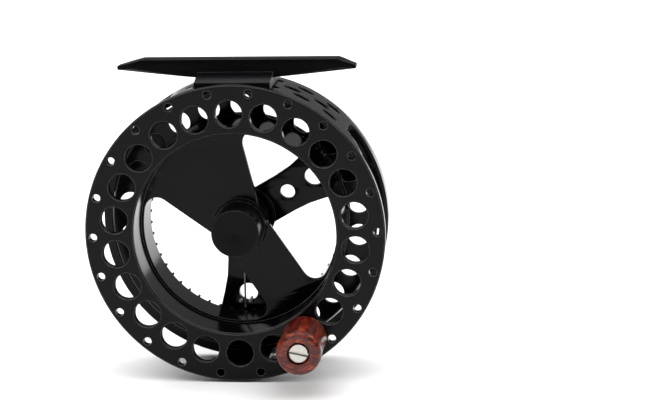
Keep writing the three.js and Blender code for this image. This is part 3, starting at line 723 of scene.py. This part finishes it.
def make_spool():
    shell = boolean(turned(shell_profile(), 240), flange_tools(), "DIFFERENCE")
    web = plate([web_outline(), circle(0, 0, 5)], WEB_Y, WEB_Y + WEB_T, 0.18)
    hub = turned([
        (HUB_BORE_R, HUB_FRONT_Y), (HUB_TUBE_R, HUB_FRONT_Y), (HUB_TUBE_R, HUB_BOSS_Y),
        (HUB_BOSS_R - EDGE, HUB_BOSS_Y), (HUB_BOSS_R, HUB_BOSS_Y + EDGE), (HUB_BOSS_R, WEB_Y - EDGE),
        (HUB_BOSS_R + EDGE, WEB_Y + 0.1), (HUB_BOSS_R + EDGE, WEB_Y + 0.5), (HUB_REAR_R, WEB_Y + 0.6),
        (HUB_REAR_R, HUB_REAR_Y - EDGE), (HUB_REAR_R - EDGE, HUB_REAR_Y), (HUB_BORE_R, HUB_REAR_Y),
    ], 96)
    body = boolean(boolean(shell, web, "UNION"), hub, "UNION")
    piece("spool_body", body, "spool", BLACK, ["spool"])


def make_click_ring():
    pitch = 360 / TEETH
    lean = 90 - math.degrees(math.asin(SCALLOP_R / 2 / TOOTH_TIP_R))
    loop = []
    for i in range(TEETH):
        centre = -90 + pitch * i
        cx, cz = polar(TOOTH_TIP_R, centre)
        loop += arc(cx, cz, SCALLOP_R, centre - lean, centre + lean, 10)
        loop.append(polar(TOOTH_TIP_R, centre + pitch / 2))
    front_y, rear_y = span_y("click_ring")
    ring = plate([circle(0, 0, SEAT_R_IN - GAP, 192), loop], front_y, rear_y, 0.1)
    piece("click_ring_teeth", ring, "spool", BLACK, ["click_ring"])


def make_hub_cap():
    face_y = span_y("hub_cap")[0]
    bore_r = HUB_TUBE_R + GAP
    cap = turned([
        (0, face_y + 0.04), (5.6, face_y + 0.02), (CAP_R - 0.18, face_y), (CAP_R, face_y + 0.18),
        (CAP_R, CAP_REAR_Y - EDGE), (CAP_R - 0.2, CAP_REAR_Y), (bore_r, CAP_REAR_Y), (bore_r, CAP_WALL_Y),
        (0, CAP_WALL_Y),
    ], 128, soft=0.05)
    piece("hub_cap_turned", cap, "spool", CAP_BLACK, ["hub_cap"])


# ---- handle ----
def make_knob():
    tip_y, base_y = span_y("handle_knob")
    seat_y = tip_y + COUNTERBORE_DEPTH
    knob = turned([
        (KNOB_BORE_R, base_y), (KNOB_R_BASE - EDGE, base_y), (KNOB_R_BASE, base_y - 0.4), (5.76, base_y - 4),
        (5.74, base_y - 8), (5.86, base_y - 12), (KNOB_R_TIP, tip_y + 2.2), (5.9, tip_y + 1.1),
        (5.6, tip_y + 0.35), (4.9, tip_y), (COUNTERBORE_R + 0.15, tip_y), (COUNTERBORE_R, tip_y + 0.15),
        (COUNTERBORE_R, seat_y), (KNOB_BORE_R, seat_y),
    ], 96, (KNOB_X, KNOB_Z), soft=0.3)
    piece("handle_knob_wood", knob, "knob", WOOD, ["handle_knob"], 40)


def slotted_screw(at, head_r, head_y, head_t, shank_r, tip_y, slot_width, slot_depth, turn_deg):
    """A cheese-head screw with its slot across the face at head_y."""
    way = 1 if tip_y > head_y else -1
    under = head_y + way * head_t
    profile = [
        (0, head_y), (head_r - 0.15, head_y), (head_r, head_y + way * 0.15), (head_r, under),
        (shank_r, under), (shank_r, tip_y - way * 0.3), (shank_r - 0.3, tip_y), (0, tip_y),
    ]
    body = turned(profile, 64, at)
    slot = slot_cutter(head_r * 2 + 1, slot_depth * 2, slot_width, turn_deg, (at[0], head_y, at[1]))
    return boolean(body, slot, "DIFFERENCE")


def make_screws():
    knob_tip_y = span_y("handle_knob")[0]
    handle = slotted_screw(
        at=(KNOB_X, KNOB_Z), head_r=2.5, head_y=knob_tip_y + 0.5, head_t=1.2, shank_r=0.85,
        tip_y=knob_tip_y + 8, slot_width=0.9, slot_depth=0.9, turn_deg=-12)
    piece("handle_screw_head", handle, "spool", STEEL, ["handle_screw"])
    spring = slotted_screw(
        at=(0, -SPRING_SCREW_R), head_r=2.3, head_y=22.9, head_t=1.2, shank_r=0.7,
        tip_y=28.2, slot_width=0.8, slot_depth=0.5, turn_deg=15)
    piece("click_spring_screw_head", spring, "frame", STEEL, ["click_spring_screw"])
    rear = slotted_screw(
        at=(0, 0), head_r=3.2, head_y=28.9, head_t=1.5, shank_r=1.05,
        tip_y=21.4, slot_width=0.9, slot_depth=0.6, turn_deg=35)
    piece("spindle_screw_head", rear, "frame", STEEL, ["spindle_screw"])


# ---- frame ----
# the band's front corner tapering on round the rim: degrees beyond BAND_FROM against y
HORN = ((0.3, 11.5), (5, 10.4), (9.5, 8.3), (13.5, 5.6), (16.5, FRAME_FRONT))


def cage_wall_outline():
    """The frame's wall unrolled: degrees round the rim against y, front edge at the low side."""
    pillar_a, pillar_b = 270 - PILLAR_HALF, 270 + PILLAR_HALF
    return [
        (-6, RING_Y), (BAND_FROM - HORN[0][0], RING_Y), *[(BAND_FROM - beyond, y) for beyond, y in HORN],
        (BAND_TO, FRAME_FRONT), (BAND_TO, RING_Y), (pillar_a, RING_Y), (pillar_a, FRAME_FRONT),
        (pillar_b, FRAME_FRONT), (pillar_b, RING_Y), (366, RING_Y), (366, FRAME_REAR), (-6, FRAME_REAR),
    ]


def cage_wall():
    scale = math.radians(1) * (FRAME_R + FRAME_R_IN) / 2
    radii = [0, 2.0, 0.8, 2.5, 3, 3, 0.8, 0.8, 2.0, 2.0, 0.8, 0.8, 2.0, 0, 0, 0]
    points = [(deg * scale, y) for deg, y in cage_wall_outline()]
    loops = [[(x / scale, y) for x, y in rounded(points, radii, 6)]]
    half = SLOT_LENGTH / 2 * scale - SLOT_HALF_WIDTH
    for row_y, first in SLOT_ROWS:
        for i in range(SLOTS_IN_ROW):
            centre = (first + SLOT_PITCH * i) * scale
            loop = arc(centre + half, row_y, SLOT_HALF_WIDTH, -90, 90, 10)
            loop += arc(centre - half, row_y, SLOT_HALF_WIDTH, 90, 270, 10)
            loops.append([(x / scale, y) for x, y in loop])
    return rolled(loops, FRAME_R_IN, FRAME_R, 0.22)


def arm_corner(deg_a, deg_b):
    """Where the edges of two neighbouring arms meet near the hub."""
    reach = ARM_PROFILE[0][1] / math.sin(math.radians((deg_b - deg_a) / 2))
    return polar(reach, (deg_a + deg_b) / 2)


def arm_window(deg_a, deg_b):
    """The window between two neighbouring arms, its corners rounded."""
    rim = FRAME_R_IN - 0.05
    end_r, end_half = ARM_PROFILE[-1]
    spread = math.degrees(math.atan2(end_half, end_r)) + 2.2
    wall = arc(0, 0, rim, deg_b - spread, deg_a + spread, 48)
    ca, sa = polar(1, deg_a)
    cb, sb = polar(1, deg_b)
    window = [arm_corner(deg_a, deg_b)]
    window += [(u * cb + v * sb, u * sb - v * cb) for u, v in ARM_PROFILE]
    window += wall
    window += [(u * ca - v * sa, u * sa + v * ca) for u, v in reversed(ARM_PROFILE)]
    side_radii = [1.5] * len(ARM_PROFILE)
    return rounded(window, [3.0] + side_radii + [0] * len(wall) + side_radii, 5)


def arms_plate():
    """Three arms between the hub boss and the ring, as one plate with three windows and a hub hole."""
    loops = [circle(0, 0, FRAME_R_IN + 0.7, 240)]
    loops += [arm_window(deg, deg + 120) for deg in ARM_ANGLES]
    for deg in ARM_ANGLES:
        loops.append(circle(*polar(ARM_HOLE_CIRCLE_R, deg), ARM_HOLE_R))
        for_screw = deg == 270
        circle_r = SPRING_SCREW_R if for_screw else ARM_INNER_HOLE_CIRCLE_R
        hole_r = SPRING_SCREW_HOLE_R if for_screw else ARM_INNER_HOLE_R
        loops.append(circle(*polar(circle_r, deg), hole_r))
    loops.append(circle(0, 0, 4))
    return plate(loops, ARM_Y, FRAME_REAR - EDGE, 0.2)


def make_cage():
    boss = turned([
        (BOSS_BORE_R, BOSS_Y), (BOSS_R - EDGE, BOSS_Y), (BOSS_R, BOSS_Y + EDGE), (BOSS_R, FRAME_REAR - EDGE),
        (BOSS_R - EDGE, FRAME_REAR), (BOSS_COUNTERBORE_R + EDGE, FRAME_REAR),
        (BOSS_COUNTERBORE_R, FRAME_REAR - EDGE), (BOSS_COUNTERBORE_R, BOSS_COUNTERBORE_Y),
        (BOSS_BORE_R, BOSS_COUNTERBORE_Y),
    ], 96)
    thinning = turned([
        (FRAME_R_IN - 1, FRAME_FRONT - 1), (BAND_R_IN, FRAME_FRONT - 1), (BAND_R_IN, RING_Y - 0.3),
        (FRAME_R_IN - 0.2, RING_Y + 0.4), (FRAME_R_IN - 1, RING_Y + 0.4),
    ], 240)
    body = boolean(boolean(cage_wall(), thinning, "DIFFERENCE"), arms_plate(), "UNION")
    body = boolean(body, boss, "UNION")
    piece("frame_cage_machined", body, "frame", BLACK, ["frame_cage"])


# ---- foot ----
def cut_away(bm, point, normal):
    """Cuts off everything on the normal's side of a plane and closes the cut."""
    everything = bm.verts[:] + bm.edges[:] + bm.faces[:]
    cut = bmesh.ops.bisect_plane(
        bm, geom=everything, plane_co=point, plane_no=normal, clear_outer=True)
    rim = [g for g in cut["geom_cut"] if isinstance(g, bmesh.types.BMEdge)]
    bmesh.ops.contextual_create(bm, geom=rim)


def stem_flare():
    """The stem's lower part, sloping out from the blade to both edges of the band."""
    bottom = 37
    section = rounded([
        (-FLARE_HALF_W, bottom), (FLARE_HALF_W, bottom), (FLARE_HALF_W, FLARE_EDGE_Z),
        (FLARE_TOP_HALF_W, FLARE_TOP_Z), (-FLARE_TOP_HALF_W, FLARE_TOP_Z), (-FLARE_HALF_W, FLARE_EDGE_Z),
    ], [0, 0, 0.25, 0.6, 0.6, 0.25])
    flare = plate([section], -STEM_HALF, STEM_HALF, 0.15)
    flare.transform(Matrix.Translation((0, FOOT_Y, 0)) @ Matrix.Rotation(math.pi / 2, 4, "Z"))
    saddle = turned([(0, 0), (STEM_FOOT_R, 0), (STEM_FOOT_R, FRAME_REAR), (0, FRAME_REAR)], 360)
    return boolean(flare, saddle, "DIFFERENCE")


def foot_blade(half, top):
    """The foot seen from the front, given its width, with its ramps and its saddle on the band."""
    tip_top, under = top - FOOT_TIP_DROP, top - FOOT_UNDER_STEM
    tip_under = tip_top - FOOT_TIP_T
    saddle_x = [STEM_HALF - STEM_HALF * i / 8 for i in range(17)]
    saddle = [(x, math.sqrt(STEM_FOOT_R ** 2 - x * x)) for x in saddle_x]
    outline = [
        (-half, tip_top), (-half, tip_under), (-STEM_HALF, under), *saddle[::-1], (STEM_HALF, under),
        (half, tip_under), (half, tip_top), (FOOT_FLAT_X[1], top), (FOOT_FLAT_X[0], top),
    ]
    radii = [0.25, 0.25, 0.35] + [0] * 17 + [0.35, 0.25, 0.25, 1.2, 1.2]
    return plate([rounded(outline, radii, 4)], FOOT_Y - FOOT_HALF_W, FOOT_Y + FOOT_HALF_W, 0.2)


def make_foot():
    foot_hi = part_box("reel_foot")[1]
    top = (foot_hi[2] - AXIS_Z) / MM
    half = foot_hi[0] / MM
    tip_under = top - FOOT_TIP_DROP - FOOT_TIP_T
    bm = bmesh.new()
    bm.from_mesh(foot_blade(half, top))
    for side in (-1, 1):
        for way in (-1, 1):
            edge_y = FOOT_Y + way * FOOT_HALF_W
            corner_y = edge_y - way * FOOT_CORNER
            cut_away(bm, (side * half, corner_y, 0), Vector((side * 0.37, way, 0)).normalized())
            low = Vector((side * half, edge_y, tip_under + 0.9))
            deep = Vector((side * half, corner_y, tip_under))
            inner = Vector((side * 14, edge_y, top - FOOT_UNDER_STEM + 0.45))
            slope = (deep - low).cross(inner - low).normalized()
            if slope.z > 0:
                slope.negate()
            cut_away(bm, low, slope)
    body = boolean(mesh_from(bm), stem_flare(), "UNION")
    piece("reel_foot_blade", body, "frame", FOOT_BLACK, ["reel_foot"])


# ---- click spring ----
def make_spring():
    curve = bpy.data.curves.new("wire", "CURVE")
    curve.dimensions = "3D"
    curve.bevel_depth = SPRING_WIRE_R
    curve.bevel_resolution = 4
    curve.use_fill_caps = True
    eye = arc(0, -SPRING_SCREW_R, SPRING_EYE_R, -78, 250, 28)
    path = [(x, SPRING_Y, z) for x, z in reversed(eye)]
    wire_z = (-SPRING_SCREW_R - 2.4, -18, -22.5, -24.6, -25.4)
    path += [(SPRING_X, SPRING_Y, z) for z in wire_z]
    spline = curve.splines.new("POLY")
    spline.points.add(len(path) - 1)
    for point, place in zip(spline.points, path):
        point.co = (*place, 1)
    holder = bpy.data.objects.new("wire", curve)
    bpy.context.scene.collection.objects.link(holder)
    bpy.context.view_layer.update()
    shape = holder.evaluated_get(bpy.context.evaluated_depsgraph_get())
    wire = bpy.data.meshes.new_from_object(shape)
    bpy.data.objects.remove(holder)
    low, high = 24.0, 24.9
    bead = turned([
        (0, low + 0.1), (SPRING_WIRE_R, low), (SPRING_BEAD_R, low + 0.1), (SPRING_BEAD_R, high - 0.1),
        (SPRING_WIRE_R, high), (0, high),
    ], 32, (SPRING_X, -SPRING_TIP_R))
    spring = boolean(wire, bead, "UNION")
    piece("click_spring_wire", spring, "click_wire", WIRE, ["click_spring"], 40)


def paint_cad_nodes():
    looks = {
        "foot_screw_left": STEEL, "foot_screw_right": STEEL, "spindle": STEEL, "retaining_screw": STEEL,
        "retaining_washer": WIRE, "thrust_washer": POLYMER,
        "click_pin_left": STEEL, "click_pin_right": STEEL,
        "cap_o_ring": RUBBER, "bushing_front": BRONZE, "bushing_rear": BRONZE, "handle_bush": BRONZE,
        "handle_post": STEEL, "handle_washer": POLYMER,
    }
    for name, look in looks.items():
        for slot in frame["nodes"][name].material_slots:
            slot.material = look


make_camera()
make_stage()
make_lights()
make_spool()
make_click_ring()
make_hub_cap()
make_knob()
make_screws()
make_cage()
make_foot()
make_spring()
paint_cad_nodes()
